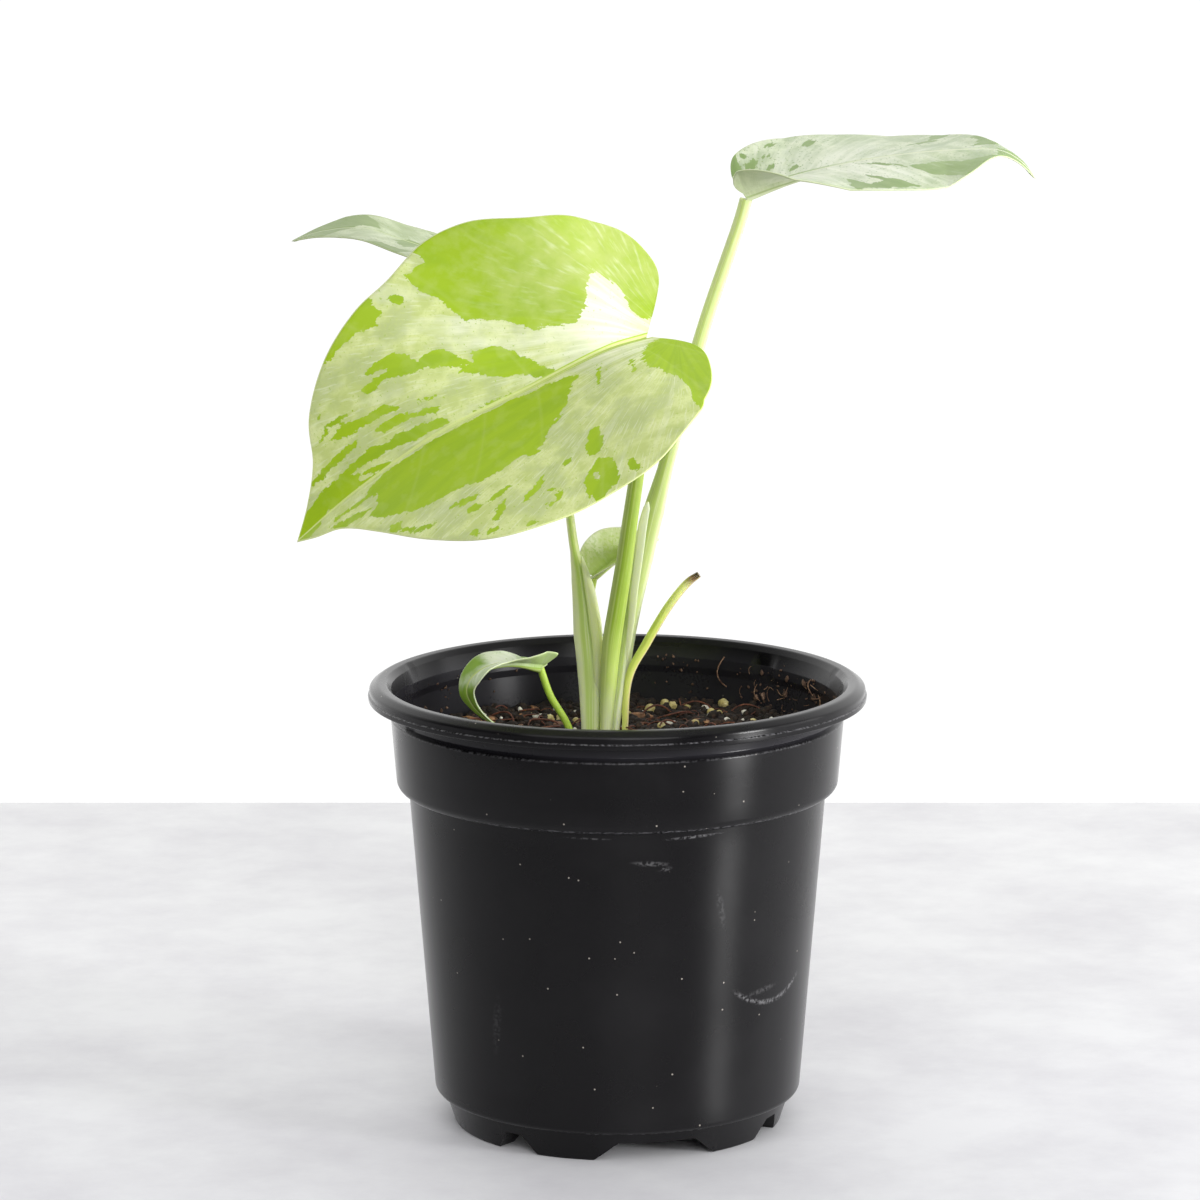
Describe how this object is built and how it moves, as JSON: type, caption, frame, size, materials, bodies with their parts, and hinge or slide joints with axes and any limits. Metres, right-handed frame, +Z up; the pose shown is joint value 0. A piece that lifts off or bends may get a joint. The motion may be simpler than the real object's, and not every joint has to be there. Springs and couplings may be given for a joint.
{
  "type": "potted variegated monstera",
  "caption": "Young variegated monstera with heart-shaped leaves on upright stalks, rooted in soil in a round tapered nursery pot.",
  "frame": {"origin": "on the pot's axis, at the floor that its foot stands on", "axes": "+Z up along the pot's axis, -Y to the front, where the large leaf faces, +X to the right of a viewer in front"},
  "size_m": [0.1642, 0.1141, 0.2182],
  "materials": {
    "pot": "black moulded polypropylene, satin, with fine scuffs and dust",
    "soil": "damp peat and bark potting mix with perlite and fertiliser grains",
    "root": "pale buried stem and fleshy roots",
    "leaf": "leathery leaf, yellow-green and cream with green patches, waxy upper side",
    "stalk": "smooth green leaf stalk with a dried brown end"
  },
  "bodies": {
    "root": {"pot": "pot", "soil": "soil", "stem_and_roots": "root", "front_leaf": "leaf", "right_leaf": "leaf", "back_leaf": "leaf", "young_leaf": "leaf", "low_leaf": "leaf", "stalk_stub": "stalk"}
  },
  "joints": []
}
